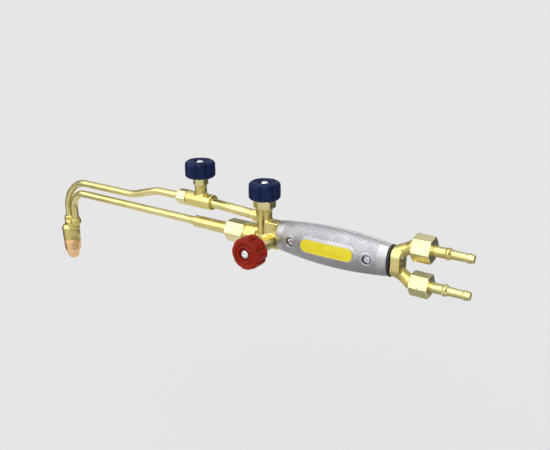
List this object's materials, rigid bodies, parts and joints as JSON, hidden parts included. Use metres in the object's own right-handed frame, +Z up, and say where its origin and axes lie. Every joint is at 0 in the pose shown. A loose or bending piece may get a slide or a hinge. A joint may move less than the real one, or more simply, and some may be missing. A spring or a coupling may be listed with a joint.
{
  "type": "hand cutting torch",
  "caption": "Hand-held oxy-fuel cutting torch with an angled head, twin gas tubes, screw-down valves with lobed knobs, a cast two-part grip and hose nipples.",
  "frame": {"origin": "middle of the hand grip, on the plane where its two halves meet", "axes": "+X along the grip towards the hose nipples, -X towards the cutting head, +Z up towards the two blue knobs, -Y towards the fuel knob"},
  "size_m": [0.5934, 0.0757, 0.1769],
  "materials": {
    "brass": "turned and drawn brass, lightly polished",
    "brass_nut": "bright machined hexagon brass",
    "copper": "turned copper, lightly oxidised",
    "steel": "zinc-plated steel",
    "cast_aluminium": "die-cast aluminium with a fine knurl",
    "blue_plastic": "moulded plastic, satin",
    "red_plastic": "moulded plastic, satin",
    "yellow_paint": "enamelled plate",
    "black_rubber": "moulded rubber",
    "sealing_plastic": "white sealing plastic"
  },
  "bodies": {
    "torch_body": {"valve_body": "brass", "injector": "brass", "mixing_chamber": "brass", "mixed_gas_tube": "brass", "cutting_tube_rear": "brass", "cutting_valve_body": "brass", "cutting_tube_front": "brass", "head_block": "brass", "head_plug": "brass", "inner_nozzle": "brass", "inlet_block": "brass", "oxygen_feed_tube": "brass", "fuel_feed_tube": "brass", "mixer_union_nut": "brass_nut", "cutting_union_nut": "brass_nut", "heating_gland_nut": "brass_nut", "cutting_gland_nut": "brass_nut", "fuel_gland_nut": "brass_nut", "outer_nozzle": "copper", "grip_screw_front": "steel", "grip_screw_rear": "steel", "grip_nut_front": "steel", "grip_nut_rear": "steel", "grip_half_near": "cast_aluminium", "grip_half_far": "cast_aluminium", "label_plate": "yellow_paint", "grip_end_ring": "black_rubber", "heating_packing": "sealing_plastic", "cutting_packing": "sealing_plastic", "fuel_packing": "sealing_plastic"},
    "heating_ball": {"heating_valve_ball": "steel"},
    "heating_valve_spindle": {"heating_spindle": "brass", "heating_knob": "blue_plastic", "heating_knob_screw": "steel"},
    "cutting_ball": {"cutting_valve_ball": "steel"},
    "cutting_valve_spindle": {"cutting_spindle": "brass", "cutting_knob": "blue_plastic", "cutting_knob_screw": "steel"},
    "fuel_ball": {"fuel_valve_ball": "steel"},
    "fuel_valve_spindle": {"fuel_spindle": "brass", "fuel_knob": "red_plastic", "fuel_knob_screw": "steel"},
    "oxygen_nipple": {"oxygen_hose_nipple": "brass"},
    "oxygen_nut": {"oxygen_union_nut": "brass_nut"},
    "fuel_nipple": {"fuel_hose_nipple": "brass"},
    "fuel_nut": {"fuel_union_nut": "brass_nut"}
  },
  "joints": [
    {"name": "heating_valve_travel", "type": "slide", "parent": "torch_body", "child": "heating_ball", "axis": [0, 0, 1], "range_m": [0, 0.002]},
    {"name": "heating_valve_turn", "type": "hinge", "parent": "heating_ball", "child": "heating_valve_spindle", "pos_m": [-0.0872, 0, 0.0377], "axis": [0, 0, 1], "range_deg": [0, 720]},
    {"name": "cutting_valve_travel", "type": "slide", "parent": "torch_body", "child": "cutting_ball", "axis": [0, 0, 1], "range_m": [0, 0.002]},
    {"name": "cutting_valve_turn", "type": "hinge", "parent": "cutting_ball", "child": "cutting_valve_spindle", "pos_m": [-0.1792, 0, 0.049], "axis": [0, 0, 1], "range_deg": [0, 720]},
    {"name": "fuel_valve_travel", "type": "slide", "parent": "torch_body", "child": "fuel_ball", "axis": [0, -1, 0], "range_m": [0, 0.002]},
    {"name": "fuel_valve_turn", "type": "hinge", "parent": "fuel_ball", "child": "fuel_valve_spindle", "pos_m": [-0.073, -0.038, -0.0067], "axis": [0, -1, 0], "range_deg": [0, 720]},
    {"name": "oxygen_union_travel", "type": "slide", "parent": "torch_body", "child": "oxygen_nipple", "axis": [1, 0, 0], "range_m": [0, 0.0075]},
    {"name": "oxygen_union_turn", "type": "hinge", "parent": "oxygen_nipple", "child": "oxygen_nut", "pos_m": [0.0888, 0, 0.0194], "axis": [1, 0, 0], "range_deg": [0, 1800]},
    {"name": "fuel_union_travel", "type": "slide", "parent": "torch_body", "child": "fuel_nipple", "axis": [1, 0, 0], "range_m": [0, 0.0075]},
    {"name": "fuel_union_turn", "type": "hinge", "parent": "fuel_nipple", "child": "fuel_nut", "pos_m": [0.0888, 0, -0.0177], "axis": [-1, 0, 0], "range_deg": [0, 1800]}
  ],
  "couplings": [
    {"joint": "heating_valve_turn", "follows": "heating_valve_travel", "rad_per_m": 6283.2},
    {"joint": "cutting_valve_turn", "follows": "cutting_valve_travel", "rad_per_m": 6283.2},
    {"joint": "fuel_valve_turn", "follows": "fuel_valve_travel", "rad_per_m": 6283.2},
    {"joint": "oxygen_union_turn", "follows": "oxygen_union_travel", "rad_per_m": 4188.8},
    {"joint": "fuel_union_turn", "follows": "fuel_union_travel", "rad_per_m": 4188.8}
  ]
}
